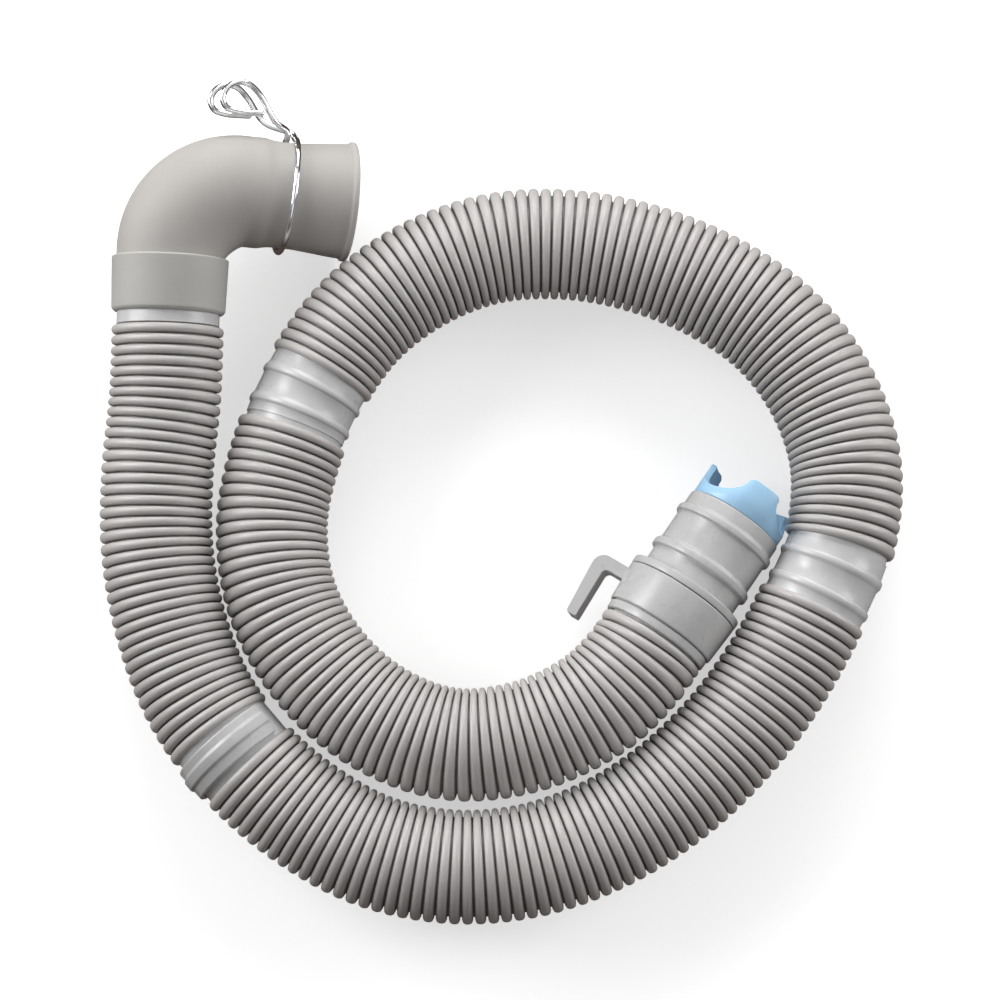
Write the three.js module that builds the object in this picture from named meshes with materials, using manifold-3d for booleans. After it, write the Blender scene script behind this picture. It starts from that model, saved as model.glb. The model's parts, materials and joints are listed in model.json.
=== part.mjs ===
// A drain hose kit: a corrugated hose laid in one flat spiral, with a soft swivel elbow and a wire
// clamp at its start, a snap clip on the way, and a hooked connector with a crown insert at its end.
// Units are millimetres, +Z is up, and the hose lies on the plane z = 0.
import * as THREE from 'three';
import { mergeVertices } from 'three/addons/utils/BufferGeometryUtils.js';
import Module from 'manifold-3d';

const wasm = await Module();
wasm.setup();

// ---------------------------------------------------------------- driving dimensions

const GAP = 0.3; // clearance between neighbouring pieces
const ROUND = 32; // sides of the turned pieces
const FULL_TURN = 2 * Math.PI;

// The hose's centreline, from the collar's lower edge to the hose's tip inside the connector.
const ROUTE = [
  [-118.5, 66, 30],
  [-119.5, 36.5, 26.5],
  [-122, 9, 24],
  [-121.8, -18.5, 22],
  [-116.5, -45.5, 21],
  [-106, -71.5, 21],
  [-89.5, -93.5, 21.5],
  [-68.5, -111.5, 20.5],
  [-44.5, -124.5, 20],
  [-17.5, -130, 20],
  [10, -128, 20],
  [36, -119, 20],
  [59.5, -104.5, 20],
  [80, -85.5, 20],
  [96.5, -64, 20.5],
  [110.3, -39.7, 21.5],
  [121.1, -14.3, 22.2],
  [123.4, 13.5, 21.5],
  [115.5, 39.5, 20.5],
  [99.5, 62, 20],
  [77, 78, 20],
  [51.5, 88.5, 20],
  [24.5, 93.5, 20],
  [-3, 92, 20],
  [-28.5, 82.2, 20],
  [-50.2, 65.6, 20],
  [-65.8, 43.3, 20],
  [-76.3, 18, 20],
  [-81.3, -8.5, 20],
  [-77.5, -35.5, 20],
  [-64, -59.5, 20],
  [-43.5, -77.5, 20],
  [-18, -87, 20.5],
  [9.5, -84.5, 21.5],
  [34.5, -72.5, 22.8],
  [48.5, -58.6, 23],
  [53, -52.1, 22.8],
  [64.5, -35.2, 22.1],
];

const HOSE = {
  radius: 20, // over the crests
  bore: 17.8,
  cuffRadius: 18.3,
  cuffBore: 16.6,
  cuffRibRadius: 19,
  cuffRibWidth: 1.8,
  cuffRibFromEnd: 6, // first cuff rib, from either end of the cuff
  sides: 16,
  step: 19, // length of one straight facet along the hose
};

// The smooth cuffs along the hose: place of the middle and half length, both along the centreline.
const CLIP_CUFF = { middle: 162.5, half: 7.8 };
const RIBBED_CUFFS = [
  { middle: 430, half: 12 },
  { middle: 729.5, half: 11.9 },
];
const FIRST_CREST = 4.6; // from the collar's lower edge to the start of the corrugation

// The collar sleeve, along its own axis: 0 at its top face, growing negative towards the hose.
const COLLAR = {
  topCentre: [-117.8, 85.5, 32.5],
  axis: [0.036, 0.9915, 0.125],
  length: 19.7,
  topRadius: 20.9,
  lowRadius: 20.3,
  edge: 0.9,
  grooveDepth: 0.7,
  grooveTop: 3.7,
  grooveWidth: 2.1,
  stepDepth: 12.2, // from the top face to the step that the hose cuff reaches
};

// The soft elbow. Its outlines are [distance, radius] along its centreline: the spigot's and the
// bend's distances count from the collar's top face, the arm's from the end of the bend.
const ELBOW = {
  bendRadius: 25.6,
  bendAngle: THREE.MathUtils.degToRad(92),
  bendSteps: 10,
  bendBulge: 1.1, // extra radius in the middle of the bend
  roll: THREE.MathUtils.degToRad(13), // the mouth hangs down to the floor
  spigot: 9.5, // length inside the collar
  radius: 19.2,
  bendEndRadius: 19.9,
  beadRadius: 19.8, // holds the spigot in the collar's groove
  beadEdge: 0.1,
  neckRadius: 19.1,
  armOutline: [
    [1.6, 19.75],
    [2.2, 19.95],
    [5.2, 19.95],
    [7.6, 19.3],
    [9, 19.1],
    [19, 19.2],
    [25, 19.8],
    [32, 20.6],
    [35.4, 20.8],
    [35.9, 21.6],
    [37.6, 21.6],
  ],
  bore: 16.8,
  bendEndBore: 17.3,
  armBore: [
    [8, 17.1],
    [18, 16.9],
    [24, 18.2],
    [37, 19.6],
    [38, 20.6],
  ],
};

// The wire clamp. Along is measured on the elbow's arm, from the end of the bend.
const CLAMP = {
  wire: 1.1,
  along: 13.9,
  lean: 0.03, // the ring's plane leans along the arm, as a slope
  crossing: 1.35, // the two wires pass each other this far from the ring's plane
  backHalfAngle: THREE.MathUtils.degToRad(9),
  hingeGap: THREE.MathUtils.degToRad(1),
  sides: 8,
  backSteps: 6, // steps along the back piece
  halfSteps: 44, // steps along each half
  arcEnd: THREE.MathUtils.degToRad(14), // the ring's arc ends this far from the crossing
  arcPoints: 12,
  neck: [
    [0, 0.4, 0],
    [-0.8, 2.5, 0.3],
  ], // from the ring to the grip: along, outwards, and the share of the grip's height
  gripStart: 0.75, // share of the grip's height at the grip's first point
  gripSpread: 8.5, // half the distance between the two grips
  gripSplay: [-1.2, 0.7], // the lower grip's offset from the mean grip below, along and outwards
  grip: [
    [-8.2, 5.4],
    [-15, 14.1],
    [-19, 17.4],
    [-23, 18],
    [-26.8, 15.7],
    [-28.2, 11.7],
    [-26.5, 8.5],
    [-22.4, 7.4],
    [-13.8, 7.6],
  ],
};

const CLIP = {
  bore: 18.65,
  radius: 20.2,
  ribRadius: 21,
  width: 12,
  edge: 0.4,
  ribWidth: 3.4,
  mouthHalfAngle: THREE.MathUtils.degToRad(43),
};

// The connector, along its axis: 0 at its rim, growing towards the hose.
const END = {
  rimCentre: [83.4, -7.5, 20.9],
  heading: THREE.MathUtils.degToRad(55.7), // from +X in the floor plane
  pitch: THREE.MathUtils.degToRad(2), // the rim is lower than the hose end
  radius: 18.2,
  bore: 16.2,
  ribs: [
    { at: 7, width: 2.4, radius: 19.3 },
    { at: 22, width: 2.8, radius: 19.6 },
  ],
  flangeAt: 30.4,
  flangeWidth: 2.7,
  flangeRadius: 21.7,
  barrelRadius: 19.4,
  socketBore: 18,
  socketAt: 31,
  length: 51.5,
  ribEdge: 0.4,
  beadAt: 48.3,
  beadRadius: 20.1,
  beadEdge: 0.5,
  cuffTip: 33.6, // end of the hose inside the socket
  hoseStart: 52.2, // where the corrugation ends
};

const HOOK_RING = {
  at: 33.4,
  width: 14.5,
  nearRadius: 21.6, // beside the flange
  farRadius: 20.8, // beside the hose
  droop: THREE.MathUtils.degToRad(18), // the hook hangs below the horizontal
  setBack: 1.3, // from the ring's rim side to the hook
  reach: 34.6,
  legWidth: 5.4,
  tipWidth: 4.2,
  legLength: 25,
  armWidth: 4.8,
  thickness: 6,
  cornerRadius: 4.5,
  innerChamfer: 1,
  tipTaper: 2.2, // the leg narrows by this much on its outer side
  tipChamfer: 0.6,
  rootDepth: 1.2, // the arm reaches this far into the ring
  edge: 0.4,
};

const CROWN = {
  radius: 17.7,
  bore: 14.4,
  wall: 2.2, // of the prongs
  prongHeight: 13,
  prongChamfer: 1.2,
  prongSide: 2.5, // height of a prong's straight side
  valleyHeight: 4,
  shoulderDrop: 1.5, // from the valleys' floor to the inner shoulder
  scoopPull: 8.4, // how far the scoop's curve is pulled out from its middle
  scoopOver: 1, // how far the scoop's cut runs past the prongs
  prongHalfAngle: THREE.MathUtils.degToRad(21.5),
  prongMiddles: [12, 132, 252].map(THREE.MathUtils.degToRad), // from the zenith, clockwise
  spigotRadius: 15.9,
  spigotLength: 12,
  grooveAt: 6,
  grooveWidth: 2.4,
  grooveRadius: 14.9,
};

// ---------------------------------------------------------------- helpers

const vector = ([x, y, z]) => new THREE.Vector3(x, y, z);

/** A closed geometry as a manifold solid. */
function solid(geometry) {
  const bare = geometry.clone();
  bare.deleteAttribute('normal');
  bare.deleteAttribute('uv');
  const merged = mergeVertices(bare, 1e-4);
  return new wasm.Manifold(
    new wasm.Mesh({
      numProp: 3,
      vertProperties: new Float32Array(merged.attributes.position.array),
      triVerts: new Uint32Array(merged.index.array),
    }),
  );
}

/** A manifold solid as a three.js geometry. */
function geometryOf(manifold) {
  const mesh = manifold.getMesh();
  const geometry = new THREE.BufferGeometry();
  geometry.setAttribute('position', new THREE.BufferAttribute(mesh.vertProperties, 3));
  geometry.setIndex(new THREE.BufferAttribute(mesh.triVerts, 1));
  geometry.computeVertexNormals();
  return geometry;
}

/** A turned piece about +Z: outline is [radius, z] points, counterclockwise with the axis at the left. */
function turned(outline, sides = ROUND) {
  const points = outline.map(([radius, z]) => new THREE.Vector2(radius, z));
  const geometry = new THREE.LatheGeometry(points, sides);
  geometry.rotateX(Math.PI / 2);
  return geometry;
}

/** A turned ring: the outline is closed back to its first point. */
const turnedRing = (outline, sides) => turned([...outline, outline[0]], sides);

/** A circle, with a concentric hole where inner is given. */
function disc(outer, inner) {
  const shape = new THREE.Shape().absarc(0, 0, outer, 0, FULL_TURN);
  if (inner) {
    shape.holes.push(new THREE.Path().absarc(0, 0, inner, 0, FULL_TURN, true));
  }
  return shape;
}

/** A round section swept along a curve; a full circle takes two segments for each curve segment. */
const sweep = (shape, curve, steps, sides) =>
  new THREE.ExtrudeGeometry(shape, { steps, extrudePath: curve, curveSegments: sides / 2 });

/** The part of a curve between two distances along it. */
class Stretch extends THREE.Curve {
  constructor(base, from, to) {
    super();
    this.base = base;
    this.from = from;
    this.to = to;
  }

  getPoint(t, target = new THREE.Vector3()) {
    const along = this.from + (this.to - this.from) * t;
    return this.base.getPointAt(along / this.base.getLength(), target);
  }
}

/** A group whose +Z runs along axis and whose +X is as close as it can be to side. */
function frameGroup(origin, axis, side) {
  const z = axis.clone().normalize();
  const x = side.clone().addScaledVector(z, -side.dot(z)).normalize();
  const y = new THREE.Vector3().crossVectors(z, x);
  const group = new THREE.Group();
  group.position.copy(origin);
  group.quaternion.setFromRotationMatrix(new THREE.Matrix4().makeBasis(x, y, z));
  return group;
}

const plastic = (color, roughness) =>
  new THREE.MeshStandardMaterial({ color, roughness, metalness: 0 });

const MATERIALS = {
  hose: () => plastic(0xb9b7b4, 0.5),
  cuff: () => plastic(0xbfbebc, 0.35),
  collar: () => plastic(0xa9a8a2, 0.6),
  elbow: () => plastic(0xa5a39e, 0.65),
  fitting: () => plastic(0xb4b4b2, 0.4),
  crown: () => plastic(0x93c1e3, 0.35),
  seal: () => plastic(0x2b2b2b, 0.8),
  wire: () => new THREE.MeshStandardMaterial({ color: 0xd5d7d9, roughness: 0.12, metalness: 1 }),
};

function node(parent, name, geometry, material) {
  const mesh = new THREE.Mesh(geometry, material());
  mesh.name = name;
  parent.add(mesh);
  return mesh;
}

const kit = new THREE.Group();
const UP = new THREE.Vector3(0, 0, 1);

// ---------------------------------------------------------------- hose

const route = new THREE.CatmullRomCurve3(ROUTE.map(vector), false, 'centripetal');
route.arcLengthDivisions = 3000;

/** A plain tube along the hose's centreline between two distances. */
function hoseTube(from, to, outer, inner) {
  const steps = Math.max(2, Math.round((to - from) / HOSE.step));
  return sweep(disc(outer, inner), new Stretch(route, from, to), steps, HOSE.sides);
}

/** A smooth cuff with two raised ribs. */
function ribbedCuff(from, to) {
  let cuff = solid(hoseTube(from, to, HOSE.cuffRadius, HOSE.cuffBore));
  for (const middle of [from + HOSE.cuffRibFromEnd, to - HOSE.cuffRibFromEnd]) {
    const half = HOSE.cuffRibWidth / 2;
    const bore = (HOSE.cuffRadius + HOSE.cuffBore) / 2;
    cuff = cuff.add(solid(hoseTube(middle - half, middle + half, HOSE.cuffRibRadius, bore)));
  }
  return geometryOf(cuff);
}

function addHose() {
  const cuffs = [CLIP_CUFF, ...RIBBED_CUFFS];
  const starts = [FIRST_CREST, ...cuffs.map((cuff) => cuff.middle + cuff.half)];
  const tipToCrest = END.hoseStart - END.cuffTip;
  const ends = [...cuffs.map((cuff) => cuff.middle - cuff.half), route.getLength() - tipToCrest];
  starts.forEach((start, i) => {
    const geometry = hoseTube(start, ends[i], HOSE.radius, HOSE.bore);
    node(kit, `hose_section_${i + 1}`, geometry, MATERIALS.hose);
  });
  cuffs.forEach((cuff, i) => {
    const from = cuff.middle - cuff.half + GAP;
    const to = cuff.middle + cuff.half - GAP;
    const geometry =
      cuff === CLIP_CUFF ? hoseTube(from, to, HOSE.cuffRadius, HOSE.cuffBore) : ribbedCuff(from, to);
    node(kit, `hose_cuff_${i + 1}`, geometry, MATERIALS.cuff);
  });
}

// ---------------------------------------------------------------- snap clip

function addSnapClip() {
  const share = CLIP_CUFF.middle / route.getLength();
  const tangent = route.getTangentAt(share);
  const inward = new THREE.Vector3().crossVectors(UP, tangent);
  const group = frameGroup(route.getPointAt(share), tangent, inward);
  const half = CLIP.width / 2;
  const rib = CLIP.ribWidth / 2;
  const slope = CLIP.ribRadius - CLIP.radius;
  const ring = turnedRing([
    [CLIP.bore, -half],
    [CLIP.radius - CLIP.edge, -half],
    [CLIP.radius, -half + CLIP.edge],
    [CLIP.radius, -rib - slope],
    [CLIP.ribRadius, -rib],
    [CLIP.ribRadius, rib],
    [CLIP.radius, rib + slope],
    [CLIP.radius, half - CLIP.edge],
    [CLIP.radius - CLIP.edge, half],
    [CLIP.bore, half],
  ]);
  const reach = 2 * CLIP.ribRadius;
  const wedge = new THREE.Shape()
    .moveTo(0, 0)
    .lineTo(reach, -reach * Math.tan(CLIP.mouthHalfAngle))
    .lineTo(reach, reach * Math.tan(CLIP.mouthHalfAngle));
  const cutter = new THREE.ExtrudeGeometry(wedge, { depth: 2 * CLIP.width, bevelEnabled: false });
  cutter.translate(0, 0, -CLIP.width);
  node(group, 'snap_clip', geometryOf(solid(ring).subtract(solid(cutter))), MATERIALS.fitting);
  kit.add(group);
}

// ---------------------------------------------------------------- collar, elbow and wire clamp

const collarAxis = vector(COLLAR.axis).normalize();
const rightSide = new THREE.Vector3().crossVectors(collarAxis, UP).normalize();
const armSide = rightSide.clone().applyAxisAngle(collarAxis, ELBOW.roll);
const collarFrame = frameGroup(vector(COLLAR.topCentre), collarAxis, armSide);

function addCollar() {
  const { length, topRadius, lowRadius, edge, grooveDepth, grooveTop, grooveWidth, stepDepth } = COLLAR;
  const swivelBore = ELBOW.radius + GAP;
  const cuffBore = HOSE.cuffRadius + GAP;
  const sleeve = turnedRing([
    [cuffBore, -length],
    [lowRadius - edge, -length],
    [lowRadius, -length + edge],
    [topRadius, -edge],
    [topRadius, 0],
    [swivelBore, 0],
    [swivelBore, -grooveTop],
    [swivelBore + grooveDepth, -grooveTop],
    [swivelBore + grooveDepth, -grooveTop - grooveWidth],
    [swivelBore, -grooveTop - grooveWidth],
    [swivelBore, -stepDepth],
    [cuffBore, -stepDepth],
  ]);
  node(collarFrame, 'elbow_collar', sleeve, MATERIALS.collar);

  const cuffEnd = -length - FIRST_CREST + 2 * GAP;
  const startCuff = turnedRing([
    [HOSE.cuffBore, cuffEnd],
    [HOSE.cuffRadius, cuffEnd],
    [HOSE.cuffRadius, -stepDepth],
    [HOSE.cuffBore, -stepDepth],
  ]);
  node(collarFrame, 'hose_start_cuff', startCuff, MATERIALS.cuff);

  const seal = turnedRing([
    [HOSE.cuffBore + GAP, -stepDepth + GAP],
    [ELBOW.radius, -stepDepth + GAP],
    [ELBOW.radius, -ELBOW.spigot - GAP],
    [HOSE.cuffBore + GAP, -ELBOW.spigot - GAP],
  ]);
  node(collarFrame, 'elbow_seal', seal, MATERIALS.seal);
}

const bendLength = ELBOW.bendRadius * ELBOW.bendAngle;

/** A place on the elbow's centreline, with the direction towards the inside of the bend. */
function elbowPlace(distance) {
  const { bendRadius, bendAngle } = ELBOW;
  const angle = THREE.MathUtils.clamp(distance / bendRadius, 0, bendAngle);
  const sine = Math.sin(angle);
  const cosine = Math.cos(angle);
  const centre = new THREE.Vector3(bendRadius * (1 - cosine), 0, bendRadius * sine);
  // Past either end of the bend the line runs on straight.
  centre.addScaledVector(new THREE.Vector3(sine, 0, cosine), distance - bendRadius * angle);
  return { centre, inward: new THREE.Vector3(cosine, 0, -sine) };
}

/** A closed round bar along the elbow's centreline, from a list of [distance, radius]. */
function elbowBar(outline) {
  const positions = [];
  const index = [];
  const corner = (ring, side) => ring * ROUND + (side % ROUND);
  outline.forEach(([distance, radius], ring) => {
    const { centre, inward } = elbowPlace(distance);
    for (let side = 0; side < ROUND; side++) {
      const turn = (side / ROUND) * FULL_TURN;
      const point = centre.clone().addScaledVector(inward, radius * Math.cos(turn));
      positions.push(point.x, radius * Math.sin(turn), point.z);
      if (ring > 0) {
        const below = corner(ring - 1, side + 1);
        index.push(corner(ring - 1, side), below, corner(ring, side + 1));
        index.push(corner(ring - 1, side), corner(ring, side + 1), corner(ring, side));
      }
    }
  });
  const last = (outline.length - 1) * ROUND;
  for (let side = 1; side < ROUND - 1; side++) {
    index.push(0, side + 1, side);
    index.push(last, last + side, last + side + 1);
  }
  const geometry = new THREE.BufferGeometry();
  geometry.setAttribute('position', new THREE.Float32BufferAttribute(positions, 3));
  geometry.setIndex(index);
  return geometry;
}

/** The outline through the bend: the radius goes from one end's to the other's, with a bulge. */
const bendOutline = (startRadius, endRadius) =>
  Array.from({ length: ELBOW.bendSteps + 1 }, (_, i) => {
    const share = i / ELBOW.bendSteps;
    const bulge = ELBOW.bendBulge * Math.sin(share * Math.PI);
    return [share * bendLength, THREE.MathUtils.lerp(startRadius, endRadius, share) + bulge];
  });

const ontoArm = (outline) => outline.map(([distance, radius]) => [bendLength + distance, radius]);

function addElbow() {
  const { spigot, radius, beadRadius, beadEdge, bendEndRadius, armOutline } = ELBOW;
  const { bore, bendEndBore, armBore } = ELBOW;
  const beadTop = -COLLAR.grooveTop - GAP;
  const beadLow = -COLLAR.grooveTop - COLLAR.grooveWidth + GAP;
  const body = elbowBar([
    [-spigot, radius],
    [beadLow - beadEdge, radius],
    [beadLow, beadRadius],
    [beadTop, beadRadius],
    [beadTop + beadEdge, radius],
    ...bendOutline(radius, bendEndRadius),
    ...ontoArm(armOutline),
  ]);
  const hollow = elbowBar([
    [-spigot - GAP, bore],
    ...bendOutline(bore, bendEndBore),
    ...ontoArm(armBore),
  ]);
  const elbow = geometryOf(solid(body).subtract(solid(hollow)));
  node(collarFrame, 'elbow_body', elbow, MATERIALS.elbow);
}

// The arm frame's +Z runs along the elbow's arm, +X to the inside of the bend and -Y upwards.
const armFrame = new THREE.Group();
armFrame.position.copy(elbowPlace(bendLength).centre);
armFrame.rotation.y = ELBOW.bendAngle;
collarFrame.add(armFrame);

const ringRadius = ELBOW.neckRadius + CLAMP.wire + GAP;

/** A point of the clamp in the arm frame: along the arm, outwards from the bend, and upwards. */
const clampPoint = (along, outward, up) =>
  new THREE.Vector3(-outward, -up, CLAMP.along + along + CLAMP.lean * outward);

/** A point of the clamp's ring, at an angle from the crossing; it drifts out of the ring's plane. */
function ringPoint(angle, drift) {
  const share = 1 - Math.abs(angle) / Math.PI;
  return clampPoint(drift * share, ringRadius * Math.cos(angle), ringRadius * Math.sin(angle));
}

const wireAlong = (points, steps) =>
  sweep(disc(CLAMP.wire), new THREE.CatmullRomCurve3(points), steps, CLAMP.sides);

/** Half of the wire: side 1 runs over the top to the lower grip, side -1 under to the upper grip. */
function wireHalf(side) {
  const { crossing, gripSpread, gripSplay, gripStart, grip, neck, arcEnd, arcPoints } = CLAMP;
  const drift = side * crossing;
  const height = -side * gripSpread;
  const arcStart = Math.PI - CLAMP.backHalfAngle - CLAMP.hingeGap / 2;
  const points = [];
  for (let i = 0; i <= arcPoints; i++) {
    points.push(ringPoint(side * THREE.MathUtils.lerp(arcStart, arcEnd, i / arcPoints), drift));
  }
  for (const [along, outward, reached] of neck) {
    points.push(clampPoint(drift + along, ringRadius + outward, reached * height));
  }
  grip.forEach(([along, outward], i) => {
    const reached = i === 0 ? gripStart : 1;
    points.push(
      clampPoint(
        along + side * gripSplay[0],
        ringRadius + outward + side * gripSplay[1],
        reached * height,
      ),
    );
  });
  return wireAlong(points, CLAMP.halfSteps);
}

function addClamp() {
  const half = CLAMP.backHalfAngle - CLAMP.hingeGap / 2;
  const back = [];
  for (let i = -2; i <= 2; i++) {
    back.push(ringPoint(Math.PI + (i / 2) * half, 0));
  }
  node(armFrame, 'clamp_back', wireAlong(back, CLAMP.backSteps), MATERIALS.wire);
  node(armFrame, 'clamp_wire_top', wireHalf(1), MATERIALS.wire);
  node(armFrame, 'clamp_wire_bottom', wireHalf(-1), MATERIALS.wire);
}

// ---------------------------------------------------------------- connector end

// The end frame's +Z runs out of the rim, so a distance t back from the rim is at z = -t.
const endAxis = new THREE.Vector3(
  Math.cos(END.heading) * Math.cos(END.pitch),
  Math.sin(END.heading) * Math.cos(END.pitch),
  -Math.sin(END.pitch),
);
const endLeft = new THREE.Vector3().crossVectors(UP, endAxis).normalize();
const endFrame = frameGroup(vector(END.rimCentre), endAxis, endLeft);

/** A raised band round the connector, as outline points from the rim side to the hose side. */
const rib = ({ at, width, radius }, base) => [
  [base, -at + width / 2 + END.ribEdge],
  [radius, -at + width / 2],
  [radius, -at - width / 2],
  [base, -at - width / 2 - END.ribEdge],
];

function addConnector() {
  const { radius, bore, ribs, flangeAt, flangeWidth, flangeRadius, barrelRadius } = END;
  const { socketBore, socketAt, length, beadAt, beadRadius, beadEdge } = END;
  const outline = [
    [bore, 0],
    [radius, 0],
    ...rib(ribs[0], radius),
    ...rib(ribs[1], radius),
    [radius, -flangeAt],
    [flangeRadius, -flangeAt],
    [flangeRadius, -flangeAt - flangeWidth],
    [barrelRadius, -flangeAt - flangeWidth],
    [barrelRadius, -beadAt],
    [beadRadius, -beadAt - beadEdge],
    [beadRadius, -length + beadEdge],
    [barrelRadius, -length],
    [socketBore, -length],
    [socketBore, -socketAt],
    [bore, -socketAt],
  ];
  node(endFrame, 'end_connector', turnedRing(outline.reverse()), MATERIALS.fitting);

  const cuffRadius = socketBore - GAP;
  const endCuff = turnedRing([
    [HOSE.cuffBore, -END.hoseStart + 2 * GAP],
    [cuffRadius, -END.hoseStart + 2 * GAP],
    [cuffRadius, -END.cuffTip],
    [HOSE.cuffBore, -END.cuffTip],
  ]);
  node(endFrame, 'hose_end_cuff', endCuff, MATERIALS.cuff);

  const seal = turnedRing([
    [bore + GAP, -END.cuffTip + GAP],
    [cuffRadius, -END.cuffTip + GAP],
    [cuffRadius, -socketAt - GAP],
    [bore + GAP, -socketAt - GAP],
  ]);
  node(endFrame, 'end_seal', seal, MATERIALS.seal);
}

/** The hook's outline: x outwards from the ring, y towards the hose. */
function hookOutline() {
  const { reach, legWidth, tipWidth, legLength, armWidth, nearRadius, cornerRadius } = HOOK_RING;
  const { innerChamfer, tipTaper, tipChamfer, rootDepth } = HOOK_RING;
  const root = nearRadius - rootDepth;
  const inner = reach - legWidth;
  const tip = reach - tipTaper;
  return new THREE.Shape()
    .moveTo(root, 0)
    .lineTo(reach - cornerRadius, 0)
    .absarc(reach - cornerRadius, cornerRadius, cornerRadius, -Math.PI / 2, 0)
    .lineTo(tip, legLength - tipChamfer)
    .lineTo(tip - tipChamfer, legLength)
    .lineTo(tip - tipWidth, legLength)
    .lineTo(inner, armWidth + innerChamfer)
    .lineTo(inner - innerChamfer, armWidth)
    .lineTo(root, armWidth);
}

function addHookRing() {
  const { at, width, nearRadius, farRadius, thickness, droop, setBack, edge } = HOOK_RING;
  const bore = END.barrelRadius + GAP;
  const ring = turnedRing([
    [bore, -at - width],
    [farRadius - edge, -at - width],
    [farRadius, -at - width + edge],
    [nearRadius, -at - edge],
    [nearRadius - edge, -at],
    [bore, -at],
  ]);
  const hook = new THREE.ExtrudeGeometry(hookOutline(), {
    depth: thickness,
    bevelEnabled: false,
    curveSegments: 8,
  });
  // The outline's y runs back along the axis, and its plane lies on the horizontal left side.
  hook.translate(0, 0, -thickness / 2);
  hook.rotateX(-Math.PI / 2);
  hook.translate(0, 0, -at - setBack);
  const turn = new THREE.Matrix4().makeRotationZ(-droop);
  const joined = solid(ring).add(solid(hook.applyMatrix4(turn)));
  node(endFrame, 'hook_ring', geometryOf(joined), MATERIALS.fitting);
}

/** The angle of the end frame's x axis for a direction measured from the zenith, clockwise. */
const clockAngle = (fromZenith) => Math.PI / 2 + fromZenith;

function addCrown() {
  const { radius, bore, prongHeight, prongChamfer, prongHalfAngle, prongMiddles, valleyHeight } = CROWN;
  const { spigotRadius, spigotLength, grooveAt, grooveWidth, grooveRadius } = CROWN;
  const { wall, prongSide, shoulderDrop, scoopPull, scoopOver } = CROWN;
  const shell = turnedRing([
    [bore, -spigotLength],
    [spigotRadius, -spigotLength],
    [spigotRadius, -grooveAt - grooveWidth],
    [grooveRadius, -grooveAt - grooveWidth],
    [grooveRadius, -grooveAt],
    [spigotRadius, -grooveAt],
    [spigotRadius, GAP],
    [radius, GAP],
    [radius, prongHeight],
    [radius - wall, prongHeight],
    [radius - wall, valleyHeight],
    [bore, valleyHeight - shoulderDrop],
  ]);
  let crown = solid(shell);
  const valleyHalf = Math.PI / 3 - prongHalfAngle;
  const valleyWidth = radius * Math.sin(valleyHalf);
  const scoop = new THREE.Shape()
    .moveTo(-valleyWidth - prongChamfer - scoopOver, prongHeight + scoopOver)
    .lineTo(-valleyWidth, prongHeight - prongChamfer)
    .lineTo(-valleyWidth, prongHeight - prongSide)
    .quadraticCurveTo(-scoopPull, valleyHeight, 0, valleyHeight)
    .quadraticCurveTo(scoopPull, valleyHeight, valleyWidth, prongHeight - prongSide)
    .lineTo(valleyWidth, prongHeight - prongChamfer)
    .lineTo(valleyWidth + prongChamfer + scoopOver, prongHeight + scoopOver);
  for (const middle of prongMiddles) {
    const cutter = new THREE.ExtrudeGeometry(scoop, {
      depth: 2 * radius,
      bevelEnabled: false,
      curveSegments: 10,
    });
    // The scoop is cut radially: its outline stands on the tangent and its depth runs outwards.
    cutter.applyMatrix4(
      new THREE.Matrix4().makeBasis(
        new THREE.Vector3(0, 1, 0),
        new THREE.Vector3(0, 0, 1),
        new THREE.Vector3(1, 0, 0),
      ),
    );
    cutter.rotateZ(clockAngle(middle + Math.PI / 3));
    crown = crown.subtract(solid(cutter));
  }
  node(endFrame, 'crown_insert', geometryOf(crown), MATERIALS.crown);

  const seal = turnedRing([
    [grooveRadius + GAP, -grooveAt - grooveWidth + GAP],
    [spigotRadius, -grooveAt - grooveWidth + GAP],
    [spigotRadius, -grooveAt - GAP],
    [grooveRadius + GAP, -grooveAt - GAP],
  ]);
  node(endFrame, 'crown_seal', seal, MATERIALS.seal);
}

// ---------------------------------------------------------------- assembly

addHose();
addSnapClip();
addCollar();
addElbow();
addClamp();
addConnector();
addHookRing();
addCrown();
kit.add(collarFrame, endFrame);

export default kit;
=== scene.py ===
"""Looks of a coiled drain hose kit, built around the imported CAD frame.

Dimensions are in millimetres and are turned into metres when a mesh is made.
"""
import json
import math

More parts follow.
